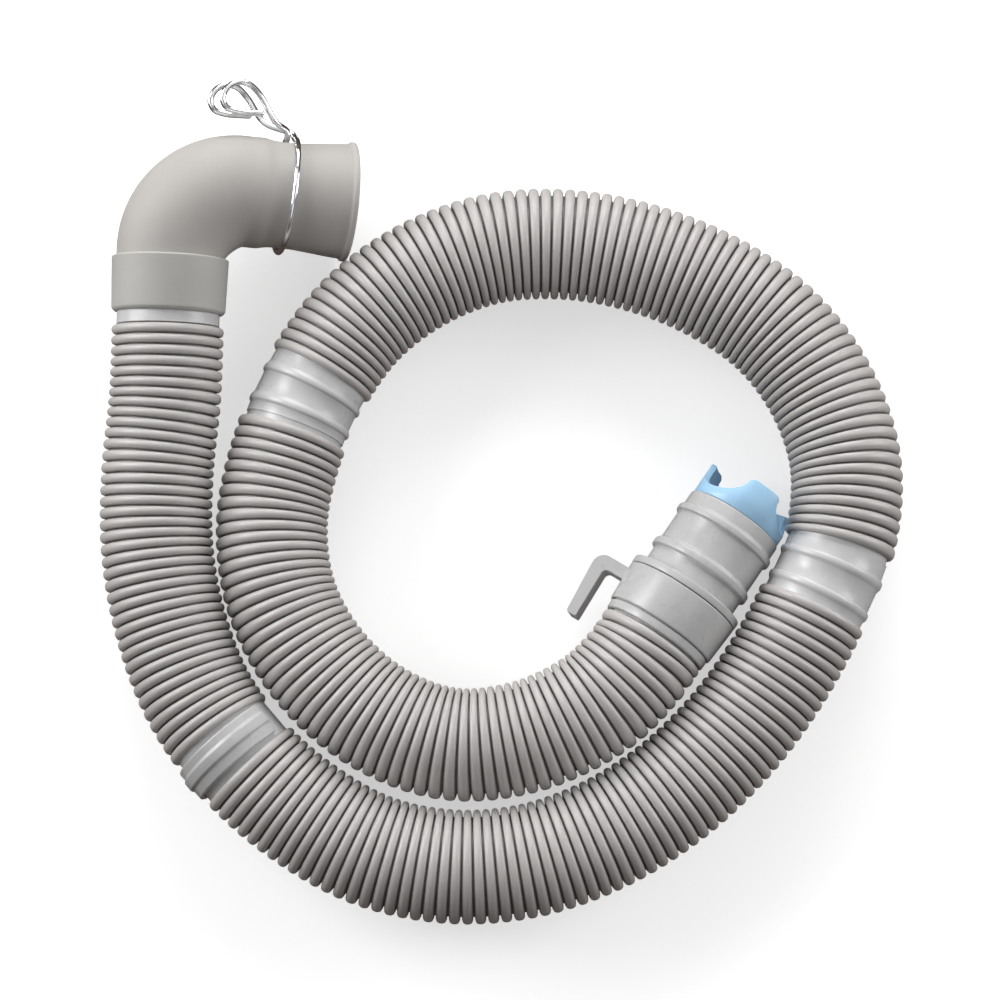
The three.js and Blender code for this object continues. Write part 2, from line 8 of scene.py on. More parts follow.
import bmesh
import bpy
import numpy as np
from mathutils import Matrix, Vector


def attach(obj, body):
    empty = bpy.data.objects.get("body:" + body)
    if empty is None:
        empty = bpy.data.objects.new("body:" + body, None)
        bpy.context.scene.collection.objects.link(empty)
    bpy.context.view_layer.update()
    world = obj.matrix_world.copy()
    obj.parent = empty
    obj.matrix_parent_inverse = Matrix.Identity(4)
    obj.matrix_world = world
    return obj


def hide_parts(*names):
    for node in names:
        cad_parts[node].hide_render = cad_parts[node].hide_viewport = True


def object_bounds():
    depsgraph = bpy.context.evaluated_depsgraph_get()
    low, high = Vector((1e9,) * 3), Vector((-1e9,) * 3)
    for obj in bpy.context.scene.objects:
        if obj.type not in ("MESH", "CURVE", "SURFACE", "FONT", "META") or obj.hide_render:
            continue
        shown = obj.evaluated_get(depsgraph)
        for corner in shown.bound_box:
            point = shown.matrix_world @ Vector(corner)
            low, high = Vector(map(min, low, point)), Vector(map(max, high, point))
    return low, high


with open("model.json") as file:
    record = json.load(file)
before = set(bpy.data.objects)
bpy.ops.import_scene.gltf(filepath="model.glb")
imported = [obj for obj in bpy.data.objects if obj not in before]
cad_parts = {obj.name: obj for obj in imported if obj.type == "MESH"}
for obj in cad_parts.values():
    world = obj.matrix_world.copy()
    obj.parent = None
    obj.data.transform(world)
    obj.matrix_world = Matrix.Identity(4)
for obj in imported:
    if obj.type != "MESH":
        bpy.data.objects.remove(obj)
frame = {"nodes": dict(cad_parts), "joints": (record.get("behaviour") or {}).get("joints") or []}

CAD_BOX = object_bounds()
MM = 0.001
TURN = 2 * math.pi
UP = np.array([0.0, 0.0, 1.0])

# ------------------------------------------------------------------ camera

CAMERA_TILT = math.radians(9)
CAMERA_PLACE = (0.0, -0.1676, 1.0782)
LENS_MM = 108

camera_data = bpy.data.cameras.new("camera")
camera_data.lens = LENS_MM
camera_data.sensor_width = 36
camera = bpy.data.objects.new("camera", camera_data)
camera.location = CAMERA_PLACE
camera.rotation_euler = (CAMERA_TILT, 0, 0)
bpy.context.scene.collection.objects.link(camera)
bpy.context.scene.camera = camera

# ------------------------------------------------------------------ dimensions

# The hose's centreline, from the collar's lower edge to the hose's tip inside the connector.
ROUTE = [
    (-118.5, 66, 30), (-119.5, 36.5, 26.5), (-122, 9, 24), (-121.8, -18.5, 22),
    (-116.5, -45.5, 21), (-106, -71.5, 21), (-89.5, -93.5, 21.5), (-68.5, -111.5, 20.5),
    (-44.5, -124.5, 20), (-17.5, -130, 20), (10, -128, 20), (36, -119, 20),
    (59.5, -104.5, 20), (80, -85.5, 20), (96.5, -64, 20.5), (110.3, -39.7, 21.5),
    (121.1, -14.3, 22.2), (123.4, 13.5, 21.5), (115.5, 39.5, 20.5), (99.5, 62, 20),
    (77, 78, 20), (51.5, 88.5, 20), (24.5, 93.5, 20), (-3, 92, 20),
    (-28.5, 82.2, 20), (-50.2, 65.6, 20), (-65.8, 43.3, 20), (-76.3, 18, 20),
    (-81.3, -8.5, 20), (-77.5, -35.5, 20), (-64, -59.5, 20), (-43.5, -77.5, 20),
    (-18, -87, 20.5), (9.5, -84.5, 21.5), (34.5, -72.5, 22.8), (48.5, -58.6, 23),
    (53, -52.1, 22.8), (64.5, -35.2, 22.1),
]

HOSE = {
    "radius": 20, "valley": 17.4, "inner": 16.6, "pitch": 3.9, "sides": 44,
    "cuff": 18.3, "tip": 17.7, "into_collar": 7.5, "first_crest": 5.0, "tip_to_crest": 18.7,
}
# One corrugation: share of the pitch from its middle, and share of the way from valley to crest.
CREST = [
    (-0.435, 0.0), (-0.42, 0.40), (-0.345, 0.77), (-0.19, 0.955),
    (0.0, 1.0), (0.19, 0.955), (0.345, 0.77), (0.42, 0.40), (0.435, 0.0),
]
# The smooth cuffs: their middle and half length, their ribs and their fine step, from their start.
CUFFS = [
    {"middle": 162.5, "half": 7.8, "ribs": [], "step": None},
    {"middle": 430.0, "half": 12.0, "ribs": [4.9, 15.9], "step": 22.0},
    {"middle": 729.5, "half": 11.9, "ribs": [6.8, 17.2], "step": 21.8},
]
CUFF_RIB_RADIUS = 19.15
# A cuff's rib: distance from its middle, and share of its height.
CUFF_RIB = [
    (-2.3, 0), (-1.6, 0.3), (-0.95, 0.85), (-0.4, 1),
    (0.5, 1), (0.95, 0.8), (1.3, 0.15), (1.5, 0),
]
CUFF_STEP = 0.45
EASE = 0.3  # the rounding of a thin rim

# ------------------------------------------------------------------ frames and meshes


def unit(vector):
    vector = np.array(vector, float)
    return vector / np.linalg.norm(vector)


class Axes:
    """A place with three directions: z along an axis, x as close as it can be to side."""

    def __init__(self, origin, axis, side):
        self.origin = np.array(origin, float)
        self.z = unit(axis)
        side = np.array(side, float)
        self.x = unit(side - self.z * side.dot(self.z))
        self.y = np.cross(self.z, self.x)

    def point(self, x, y, z):
        return self.origin + self.x * x + self.y * y + self.z * z

    def place(self, distance):
        """The centre and the two cross directions at a distance along z."""
        return self.origin + self.z * distance, self.x, self.y


def joint_axes(name, side=None):
    """The frame at a joint, in millimetres; its x lies level where no side is given."""
    found = next(j for j in frame["joints"] if j["name"] == name)
    axis = unit(found["axis"])
    return Axes(np.array(found["pos_m"]) / MM, axis, np.cross(UP, axis) if side is None else side)


swivel = joint_axes("elbow_swivel")
clamp_joint = joint_axes("clamp_turn")
collar_axes = Axes(swivel.origin, -swivel.z, clamp_joint.z)
end_axes = joint_axes("insert_twist")
clip_axes = joint_axes("clip_turn")


def mesh_piece(name, points, faces, sharp=38):
    """A smooth-shaded piece from points in millimetres, with its faces turned outwards."""
    mesh = bpy.data.meshes.new(name)
    mesh.from_pydata((np.asarray(points) * MM).tolist(), [], faces)
    work = bmesh.new()
    work.from_mesh(mesh)
    bmesh.ops.recalc_face_normals(work, faces=work.faces)
    work.to_mesh(mesh)
    work.free()
    mesh.polygons.foreach_set("use_smooth", [True] * len(mesh.polygons))
    mesh.set_sharp_from_angle(angle=math.radians(sharp))
    piece = bpy.data.objects.new(name, mesh)
    bpy.context.scene.collection.objects.link(piece)
    return piece


def softened(outline, radius, steps=3):
    """A closed outline with each corner rounded by up to radius."""
    points = np.array(outline, float)
    result = []
    for i, here in enumerate(points):
        to_last = points[i - 1] - here
        to_next = points[(i + 1) % len(points)] - here
        last_length = np.linalg.norm(to_last)
        next_length = np.linalg.norm(to_next)
        bend = math.acos(np.clip(-to_last.dot(to_next) / (last_length * next_length), -1, 1))
        if bend < math.radians(12):
            result.append(tuple(here))
            continue
        cut = min(radius, 0.45 * last_length, 0.45 * next_length)
        start = here + to_last * cut / last_length
        end = here + to_next * cut / next_length
        for k in range(steps + 1):
            t = k / steps
            result.append(tuple((1 - t) ** 2 * start + 2 * t * (1 - t) * here + t * t * end))
    return result


def ring_points(outline, place, angles):
    """The points of a closed outline of (distance, radius), carried round a centreline."""
    cosines = np.cos(angles)[:, None]
    sines = np.sin(angles)[:, None]
    rings = []
    for distance, radius in outline:
        centre, x, y = place(distance)
        rings.append(centre + radius * (cosines * x + sines * y))
    return np.concatenate(rings)


def corner_weights(outline):
    """How sharply each point of a closed outline turns outwards, from 0 to 1."""
    points = np.array(outline, float)
    after = np.roll(points, -1, axis=0) - points
    before = np.roll(after, 1, axis=0)
    cross = before[:, 0] * after[:, 1] - before[:, 1] * after[:, 0]
    area = (points[:, 0] * after[:, 1] - points[:, 1] * after[:, 0]).sum()
    turn = np.arctan2(cross, (before * after).sum(axis=1)) * np.sign(area)
    return np.clip(turn / math.radians(20), 0, 1)


def point_layer(piece, name, values):
    layer = piece.data.attributes.new(name, "FLOAT", "POINT")
    layer.data.foreach_set("value", np.asarray(values, np.float32))


def swept(name, outline, place, sides=96, sharp=38):
    """A closed outline of (distance, radius) carried right round a centreline."""
    points = ring_points(outline, place, np.arange(sides) * TURN / sides)
    count = len(outline)
    faces = []
    for i in range(count):
        here = i * sides
        after = (i + 1) % count * sides
        for j in range(sides):
            k = (j + 1) % sides
            faces.append((here + j, here + k, after + k, after + j))
    piece = mesh_piece(name, points, faces, sharp)
    # The edge layer marks outward corners, which the materials lighten as a painted highlight.
    point_layer(piece, "edge", np.repeat(corner_weights(outline), sides))
    return piece


def catmull_rom(points, samples):
    """A centripetal Catmull-Rom curve through points, with samples to each span."""
    points = [np.array(p, float) for p in points]
    points = [2 * points[0] - points[1]] + points + [2 * points[-1] - points[-2]]
    result = []
    for i in range(1, len(points) - 2):
        p0, p1, p2, p3 = points[i - 1:i + 3]
        d0, d1, d2 = (np.linalg.norm(b - a) ** 0.5 for a, b in ((p0, p1), (p1, p2), (p2, p3)))
        out = ((p1 - p0) / d0 - (p2 - p0) / (d0 + d1) + (p2 - p1) / d1) * d1
        into = ((p2 - p1) / d1 - (p3 - p1) / (d1 + d2) + (p3 - p2) / d2) * d1
        for k in range(samples):
            t = k / samples
            result.append(
                p1 + out * t
                + (-3 * p1 + 3 * p2 - 2 * out - into) * t * t
                + (2 * p1 - 2 * p2 + out + into) * t ** 3
            )
    return np.array(result + [points[-2]])


def loop_faces(rings, sides):
    """Quads between rings that follow each other, and a cap on the first and last ring."""
    faces = []
    for i in range(rings - 1):
        for j in range(sides):
            k = (j + 1) % sides
            faces.append((i * sides + j, i * sides + k, (i + 1) * sides + k, (i + 1) * sides + j))
    faces.append(tuple(range(sides)))
    faces.append(tuple(range((rings - 1) * sides, rings * sides)))
    return faces


WIRE_DOME = [math.radians(a) for a in (85, 65, 42, 20)]


def wire(name, points, radius, samples=10, sides=20):
    """A round wire with domed ends along a curve through points."""
    line = catmull_rom(points, samples)
    tangents = np.gradient(line, axis=0)
    tangents /= np.linalg.norm(tangents, axis=1)[:, None]
    angles = np.arange(sides) * TURN / sides
    cosines = np.cos(angles)[:, None]
    sines = np.sin(angles)[:, None]
    # Each ring's centre, direction and size, the dome's rings first and last.
    stations = [(line[0] - tangents[0] * radius * math.sin(a), tangents[0], math.cos(a)) for a in WIRE_DOME]
    stations += [(centre, tangent, 1) for centre, tangent in zip(line, tangents)]
    stations += [
        (line[-1] + tangents[-1] * radius * math.sin(a), tangents[-1], math.cos(a))
        for a in reversed(WIRE_DOME)
    ]
    side = unit(np.cross(tangents[0], UP if abs(tangents[0][2]) < 0.9 else (1, 0, 0)))
    rings = []
    for centre, tangent, size in stations:
        side = unit(side - tangent * side.dot(tangent))
        across = np.cross(tangent, side)
        rings.append(centre + radius * size * (cosines * side + sines * across))
    return mesh_piece(name, np.concatenate(rings), loop_faces(len(rings), sides))


# ------------------------------------------------------------------ hose

route_line = catmull_rom(ROUTE, 120)
route_along = np.concatenate([[0], np.cumsum(np.linalg.norm(np.diff(route_line, axis=0), axis=1))])
ROUTE_LENGTH = route_along[-1]
route_tangents = np.gradient(route_line, axis=0)
route_tangents /= np.linalg.norm(route_tangents, axis=1)[:, None]


def hose_place(along):
    """The centre of the hose and its two cross directions; it runs straight on past its ends."""
    inside = min(max(along, 0), ROUTE_LENGTH)
    centre = np.array([np.interp(inside, route_along, route_line[:, i]) for i in range(3)])
    tangent = unit([np.interp(inside, route_along, route_tangents[:, i]) for i in range(3)])
    if along < 0:
        tangent = -collar_axes.z
    side = unit(np.cross(UP, tangent))
    return centre + tangent * (along - inside), side, np.cross(tangent, side)


def corrugation(start, end):
    """The outline of the crests between two smooth stretches, as (along, radius, is smooth)."""
    half = HOSE["pitch"] * 0.4
    count = round((end - start - 2 * half) / HOSE["pitch"])
    pitch = (end - start - 2 * half) / count
    rise = HOSE["radius"] - HOSE["valley"]
    return [
        (start + half + i * pitch + share * pitch, HOSE["valley"] + rise * height, 0)
        for i in range(count + 1)
        for share, height in CREST
    ]


def smooth_cuff(start, end, ribs, step):
    """The outline of a smooth cuff, with soft flat ribs and one fine step."""
    base = HOSE["cuff"]
    outline = [(start + 0.05, base, 1)]
    for rib in ribs:
        for offset, height in CUFF_RIB:
            outline.append((start + rib + offset, base + (CUFF_RIB_RADIUS - base) * height, 1))
    if step:
        outline.append((start + step - 0.05, base, 1))
        outline.append((start + step + 0.05, base - CUFF_STEP, 1))
    outline.append((end - 0.05, base - (CUFF_STEP if step else 0), 1))
    return outline


# The smooth stretches get the same painted valley shade as the upper part of a crest.
SMOOTH_HEIGHT = 0.8  # the smooth stretches are shaded like the upper part of a crest


def build_hose():
    """The whole hose as one closed tube, open at both ends."""
    outline = [
        (-HOSE["into_collar"], HOSE["cuff"] - EASE, 1),
        (-HOSE["into_collar"] + EASE, HOSE["cuff"], 1),
        (HOSE["first_crest"] - 0.6, HOSE["cuff"], 1),
    ]
    start = HOSE["first_crest"]
    for cuff in CUFFS:
        from_, to = cuff["middle"] - cuff["half"], cuff["middle"] + cuff["half"]
        outline += corrugation(start, from_)
        outline += smooth_cuff(from_, to, cuff["ribs"], cuff["step"])
        start = to
    last_crest = ROUTE_LENGTH - HOSE["tip_to_crest"]
    outline += corrugation(start, last_crest)
    outline += [
        (last_crest + EASE, HOSE["tip"], 1),
        (ROUTE_LENGTH - EASE, HOSE["tip"], 1),
        (ROUTE_LENGTH, HOSE["tip"] - EASE, 1),
    ]
    inner_count = 90
    for i in range(inner_count + 1):
        along = ROUTE_LENGTH + (-HOSE["into_collar"] - ROUTE_LENGTH) * i / inner_count
        outline.append((along, HOSE["inner"], 1))
    sides = HOSE["sides"]
    piece = swept("hose_tube", [(along, radius) for along, radius, _ in outline], hose_place, sides, 60)
    smooth = np.array([kind for _, _, kind in outline])
    face_ring = np.repeat(np.arange(len(outline)), sides)
    both = smooth[face_ring] * smooth[(face_ring + 1) % len(outline)]
    piece.data.polygons.foreach_set("material_index", both.astype(np.int32).tolist())
    # The crest layer, from valley to crest, drives the hose material's painted shade in the valleys.
    radii = np.repeat([radius for _, radius, _ in outline], sides)
    heights = np.clip((radii - HOSE["valley"]) / (HOSE["radius"] - HOSE["valley"]), 0, 1)
    heights[np.repeat(smooth, sides) == 1] = SMOOTH_HEIGHT
    point_layer(piece, "crest", heights)
    outer = outline[:len(outline) - inner_count - 1]
    return piece, [hose_place(along)[0] * MM for along, _, _ in outer]


hose, hose_path = build_hose()
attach(hose, "hose")
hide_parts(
    "hose_section_1", "hose_section_2", "hose_section_3", "hose_section_4",
    "hose_cuff_1", "hose_cuff_2", "hose_cuff_3", "hose_start_cuff", "hose_end_cuff",
)

# ------------------------------------------------------------------ collar and elbow

COLLAR = {"length": 19.7, "top": 20.9, "low": 20.3, "swivel_bore": 19.5, "cuff_bore": 18.6, "step": 12.2}

collar = swept(
    "collar_sleeve",
    softened(
        [
            (-COLLAR["length"], COLLAR["cuff_bore"]),
            (-COLLAR["length"], COLLAR["low"] - 0.9),
            (-COLLAR["length"] + 1.0, COLLAR["low"]),
            (-1.0, COLLAR["top"] - 0.05),
            (-0.35, COLLAR["top"]),
            (0, COLLAR["top"] - 0.45),
            (0, COLLAR["swivel_bore"]),
            (-COLLAR["step"], COLLAR["swivel_bore"]),
            (-COLLAR["step"], COLLAR["cuff_bore"]),
        ],
        0.45,
    ),
    collar_axes.place,
    120,
)
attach(collar, "hose")
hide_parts("elbow_collar")

BEND_RADIUS = 25.6
BEND_ANGLE = math.radians(92)
BEND_LENGTH = BEND_RADIUS * BEND_ANGLE
BEND_BULGE = 1.1
ELBOW_RADIUS = 19.2
BEND_END_RADIUS = 19.9
SPIGOT = 9.3
ELBOW_BORE = 16.8
BEND_END_BORE = 17.3
# The arm's outlines, as distance from the end of the bend and radius.
ARM = [
    (1.6, 19.86), (3.4, 19.95), (5.2, 19.85), (7.2, 19.4), (9.0, 19.13), (12, 19.08),
    (17, 19.12), (20, 19.35), (25, 19.85), (30, 20.38), (34.4, 20.72),
]
ARM_LIP = [
    (35.25, 20.85), (35.55, 21.25), (35.9, 21.55), (36.5, 21.62),
    (37.2, 21.58), (37.55, 21.3), (37.6, 20.9),
]
ARM_BORE = [
    (37.55, 20.6), (37.2, 20.2), (36.2, 19.55), (24, 18.2),
    (20, 17.2), (16, 16.9), (8, 17.1), (0, BEND_END_BORE),
]


def elbow_place(distance):
    """The centre of the elbow and its two cross directions, x towards the inside of the bend."""
    angle = min(max(distance / BEND_RADIUS, 0), BEND_ANGLE)
    sine, cosine = math.sin(angle), math.cos(angle)
    over = distance - BEND_RADIUS * angle
    centre = collar_axes.point(
        BEND_RADIUS * (1 - cosine) + sine * over, 0, BEND_RADIUS * sine + cosine * over
    )
    return centre, collar_axes.x * cosine - collar_axes.z * sine, collar_axes.y


def smooth_line(points, spacing):
    """A smooth open outline through points of (distance, radius)."""
    line = catmull_rom([(a, b, 0) for a, b in points], 12)[:, :2]
    length = np.concatenate([[0], np.cumsum(np.linalg.norm(np.diff(line, axis=0), axis=1))])
    count = max(2, round(length[-1] / spacing))
    at = np.linspace(0, length[-1], count + 1)
    return list(zip(np.interp(at, length, line[:, 0]), np.interp(at, length, line[:, 1])))


def build_elbow():
    """The spigot, the bulged bend and the flared arm as one tube."""
    bend = [(-SPIGOT, ELBOW_RADIUS - EASE), (-SPIGOT + EASE, ELBOW_RADIUS), (-0.5, ELBOW_RADIUS)]
    steps = 42
    for i in range(steps + 1):
        share = i / steps
        bulge = BEND_BULGE * math.sin(share * math.pi)
        radius = ELBOW_RADIUS + (BEND_END_RADIUS - ELBOW_RADIUS) * share + bulge
        bend.append((share * BEND_LENGTH, radius))
    arm = smooth_line(ARM, 0.9) + ARM_LIP + ARM_BORE
    onto_arm = [(BEND_LENGTH + distance, radius) for distance, radius in arm]
    steps = 20
    bore = [
        (BEND_LENGTH * i / steps, ELBOW_BORE + (BEND_END_BORE - ELBOW_BORE) * i / steps)
        for i in range(steps - 1, -1, -1)
    ]
    outline = bend + onto_arm + bore + [(-SPIGOT, ELBOW_BORE)]
    return swept("elbow_pipe", outline, elbow_place, 112, 50)


elbow = build_elbow()
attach(elbow, "elbow")
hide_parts("elbow_body")

# ------------------------------------------------------------------ wire clamp

CLAMP_ALONG = 13.9
WIRE = 1.1
RING = 20.5
LEAN = 0.03
CROSSING = 1.35
GRIP_SPREAD = 8.5
GRIP_SPLAY = (-1.2, 0.7)
HALF_FROM = math.radians(171.2)  # a half's arc of the ring, from beside the back piece
HALF_TO = math.radians(14)
BACK_DEGREES = range(-10, 11, 4)
# The grip's curve, as distance along the arm and outwards from the ring.
GRIP = [
    (-8.2, 5.4), (-15, 14.1), (-19, 17.4), (-23, 18), (-26.8, 15.7),
    (-28.2, 11.7), (-26.5, 8.5), (-22.4, 7.4), (-13.8, 7.6),
]

arm_z = clamp_joint.z
arm_axes = Axes(
    clamp_joint.origin - arm_z * CLAMP_ALONG, arm_z, np.cross(collar_axes.y, arm_z)
)


def clamp_point(along, outward, up):
    """A point beside the ring's centre; the ring's plane leans along the arm."""
    return arm_axes.point(-outward, -up, CLAMP_ALONG + along + LEAN * outward)


def ring_point(angle, drift):
    """A point on the ring, which drifts along the arm towards the crossing at angle 0."""
    share = 1 - abs(angle) / math.pi
    return clamp_point(drift * share, RING * math.cos(angle), RING * math.sin(angle))


def wire_half(side):
    """One half of the ring, its neck past the crossing, and its grip; side is 1 or -1."""
    drift = side * CROSSING
    height = -side * GRIP_SPREAD
    steps = 14
    points = [
        ring_point(side * (HALF_FROM + (HALF_TO - HALF_FROM) * i / steps), drift)
        for i in range(steps + 1)
    ]
    points.append(clamp_point(drift, RING + 0.4, 0))
    points.append(clamp_point(drift - 0.8, RING + 2.5, 0.3 * height))
    for i, (along, outward) in enumerate(GRIP):
        reached = 0.75 if i == 0 else 1
        points.append(
            clamp_point(
                along + side * GRIP_SPLAY[0], RING + outward + side * GRIP_SPLAY[1], reached * height
            )
        )
    return points


back_points = [ring_point(math.pi + math.radians(a), 0) for a in BACK_DEGREES]
clamp_pieces = [
    ("clamp_wire_back", back_points, "clamp", "clamp_back"),
    ("clamp_wire_upper", wire_half(1), "clamp_top", "clamp_wire_top"),
    ("clamp_wire_lower", wire_half(-1), "clamp_bottom", "clamp_wire_bottom"),
]
wires = []
for name, points, body, node in clamp_pieces:
    piece = wire(name, points, WIRE)
    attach(piece, body)
    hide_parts(node)
    wires.append(piece)

# ------------------------------------------------------------------ snap clip

CLIP_MOUTH = math.radians(39)  # half the arc that the band leaves open
CLIP_OUTLINE = [
    (-6, 18.65), (-6, 19.75), (-5.6, 20.2), (-2.9, 20.2), (-1.9, 21),
    (1.3, 21), (2.2, 20.2), (5.6, 20.2), (6, 19.75), (6, 18.65),
]
CLIP_END_ARC = math.radians(1.1)
# The rounding of the band's ends: share of the end's arc, and how far the outline draws in.
CLIP_END = [(0, 0.35), (0.25, 0.15), (0.6, 0.04), (1, 0)]


def build_clip():
    """A band that is open over an arc about its x direction, with rounded ends."""
    outline = softened(CLIP_OUTLINE, 0.3)
    middle = np.array(outline).mean(axis=0)
    start = CLIP_MOUTH + CLIP_END_ARC
    span = TURN - 2 * start
    steps = 110
    stations = [(CLIP_MOUTH + share * CLIP_END_ARC, inset) for share, inset in CLIP_END]
    stations += [(start + span * i / steps, 0) for i in range(1, steps)]
    stations += [(TURN - CLIP_MOUTH - share * CLIP_END_ARC, inset) for share, inset in reversed(CLIP_END)]
    points = []
    for angle, inset in stations:
        for corner in outline:
            offset = np.array(corner) - middle
            distance, radius = middle + offset * (1 - inset / np.linalg.norm(offset))
            centre, x, y = clip_axes.place(distance)
            points.append(centre + radius * (math.cos(angle) * x + math.sin(angle) * y))
    return mesh_piece("clip_band", points, loop_faces(len(stations), len(outline)))


clip = build_clip()
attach(clip, "clip")
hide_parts("snap_clip")

# ------------------------------------------------------------------ connector, hook ring and crown

END_RADIUS = 18.2
END_BORE = 16.2
SOCKET_BORE = 18
BARREL_RADIUS = 19.4
FLANGE_RADIUS = 21.7


def end_rib(at, width, radius):
    """A raised band: a soft ramp on the rim side and a short one on the hose side."""
    return [
        (-at + width / 2 + 1.0, END_RADIUS),
        (-at + width / 2 - 0.3, radius),
        (-at - width / 2 + 0.2, radius),
        (-at - width / 2 - 0.25, END_RADIUS),
    ]


connector = swept(
    "connector_barrel",
    softened(
        [
            (0, END_BORE), (0, END_RADIUS),
            *end_rib(7, 2.4, 19.3),
            *end_rib(22, 2.8, 19.6),
            (-30.4, END_RADIUS), (-30.4, FLANGE_RADIUS), (-33.1, FLANGE_RADIUS), (-33.1, BARREL_RADIUS),
            (-48.3, BARREL_RADIUS), (-48.4, 20.1), (-51.2, 20.0), (-51.5, 19.6),
            (-51.5, SOCKET_BORE), (-31, SOCKET_BORE), (-31, END_BORE),
        ],
        0.35,
    ),
    end_axes.place,
    120,
)
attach(connector, "hose")
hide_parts("end_connector")

# The hook ring, from its rim side, and its hook. The hook's sizes are seen square to its flat side.
HOOK_AT = 33.4
HOOK_WIDTH = 14.5
HOOK_DROOP = math.radians(18)
HOOK_BACK = 1.3
HOOK = {
    "root": 20.2, "arm": 4.8, "reach": 34.6, "corner": 4.5, "leg": 25, "leg_width": 5.4,
    "tip_inset": 6.4, "inner_corner": 1.8, "thickness": 6,
}

hook_band = swept(
    "hook_band",
    softened(
        [
            (-HOOK_AT - HOOK_WIDTH, 19.7), (-HOOK_AT - HOOK_WIDTH, 20.5),
            (-HOOK_AT - HOOK_WIDTH + 0.4, 20.8),
            (-HOOK_AT - 0.4, 21.6), (-HOOK_AT, 21.3), (-HOOK_AT, 19.7),
        ],
        0.25,
    ),
    end_axes.place,
    120,
)


def arc_points(centre, radius, start, turn, steps):
    """The points of an arc of a circle, from the angle start on through turn."""
    angles = [start + turn * i / steps for i in range(steps + 1)]
    return [(centre[0] + radius * math.cos(a), centre[1] + radius * math.sin(a)) for a in angles]


def hook_outline():
    """The bent bar seen square to its flat side: outwards from the band, then along it."""
    reach, leg, corner, inner_corner = (HOOK[key] for key in ("reach", "leg", "corner", "inner_corner"))
    inner = reach - HOOK["leg_width"] - inner_corner
    outline = [(HOOK["root"], 0)]
    outline += arc_points((reach - corner, corner), corner, -math.pi / 2, math.pi / 2, 8)
    outline += [
        (reach - 2.2, leg - 0.7), (reach - 2.9, leg),
        (reach - HOOK["tip_inset"] + 0.3, leg), (reach - HOOK["tip_inset"], leg - 0.4),
    ]
    outline += arc_points((inner, HOOK["arm"] + inner_corner), inner_corner, 0, -math.pi / 2, 4)
    outline.append((HOOK["root"], HOOK["arm"]))
    return outline


def build_hook():
    """The hook arm: a bevelled bar that hangs a little below the level."""
    outline = hook_outline()
    turn_x, turn_y = math.cos(-HOOK_DROOP), math.sin(-HOOK_DROOP)
    points = []
    for side in (-HOOK["thickness"] / 2, HOOK["thickness"] / 2):
        for x, y in outline:
            points.append(
                end_axes.point(
                    x * turn_x - side * turn_y, x * turn_y + side * turn_x, -HOOK_AT - HOOK_BACK - y
                )
            )
    piece = mesh_piece("hook_arm", points, loop_faces(2, len(outline)))
    bevel = piece.modifiers.new("bevel", "BEVEL")
    bevel.width = 0.55 * MM
    bevel.segments = 3
    bevel.limit_method = "ANGLE"
    bevel.angle_limit = math.radians(40)
    return piece


hook = build_hook()
for piece in (hook_band, hook):
    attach(piece, "hook")
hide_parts("hook_ring")

# The crown insert; heights count from the connector's rim.
CROWN = {
    "radius": 17.7, "inner": 15.5, "bore": 14.4, "spigot": 15.9, "spigot_length": 12,
    "prong": 13, "straight": 2.5, "chamfer": 1.2, "valley": 4, "shelf": 2.6, "pull": 8.4,
}
PRONG_HALF = math.radians(21.5)
PRONG_MIDDLES = [math.radians(90 + a) for a in (12, 132, 252)]
VALLEY_WIDTH = CROWN["radius"] * math.sin(math.pi / 3 - PRONG_HALF)


def crown_height(across):
    """The height of the crown's edge at a distance across a scoop from its middle."""
    across = abs(across)
    if across < VALLEY_WIDTH:
        # The scoop's side is one quadratic curve from the valley's floor to the prong's shoulder.
        shoulder = CROWN["prong"] - CROWN["straight"]
        a, b = VALLEY_WIDTH - 2 * CROWN["pull"], 2 * CROWN["pull"]
        t = (-b + math.sqrt(b * b + 4 * a * across)) / (2 * a)
        return CROWN["valley"] + (shoulder - CROWN["valley"]) * t * t
    return min(CROWN["prong"], CROWN["prong"] - CROWN["chamfer"] + (across - VALLEY_WIDTH))


def crown_section(top):
    """The wall's outline of (radius, height) where its edge is at the height top."""
    radius, inner, bore, spigot, shelf = (
        CROWN[key] for key in ("radius", "inner", "bore", "spigot", "shelf")
    )
    low = -CROWN["spigot_length"]
    return [
        (bore, low), (spigot - EASE, low), (spigot, low + EASE), (spigot, 0.3),
        (radius - 0.2, 0.3), (radius, 0.5), (radius, 0.5 + (top - 0.8) * 0.5),
        (radius, top - EASE), (radius - 0.08, top - 0.08), (radius - EASE, top),
        (inner + EASE, top), (inner + 0.08, top - 0.08), (inner, top - EASE),
        (inner, shelf + (top - EASE - shelf) * 0.4), (inner, shelf),
        (inner - 0.2, shelf - 0.2), (bore + 0.2, shelf - 0.3), (bore, shelf - 0.6),
    ]


def build_crown():
    """A tube with three scoops out of its edge; columns stand close beside each prong's side."""
    sides = 360
    angles = list(np.arange(sides) * TURN / sides)
    edge = math.asin(VALLEY_WIDTH / CROWN["radius"])
    for middle in PRONG_MIDDLES:
        for sign in (-1, 1):
            shoulder = middle + sign * (math.pi / 3 - edge)
            angles += [(shoulder - 0.0015) % TURN, (shoulder + 0.0015) % TURN]
    angles = sorted(angles)
    columns = []
    for angle in angles:
        offsets = [(angle - m - math.pi / 3 + math.pi) % TURN - math.pi for m in PRONG_MIDDLES]
        offset = min(offsets, key=abs)
        section = crown_section(crown_height(CROWN["radius"] * math.sin(offset)))
        columns.append([end_axes.point(r * math.cos(angle), r * math.sin(angle), z) for r, z in section])
    count = len(columns[0])
    faces = []
    for i in range(len(columns)):
        after = (i + 1) % len(columns)
        for j in range(count):
            k = (j + 1) % count
            faces.append((i * count + j, i * count + k, after * count + k, after * count + j))
    return mesh_piece("crown_shell", [p for column in columns for p in column], faces, 45)


crown = build_crown()
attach(crown, "crown")
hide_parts("crown_insert")

# ------------------------------------------------------------------ materials


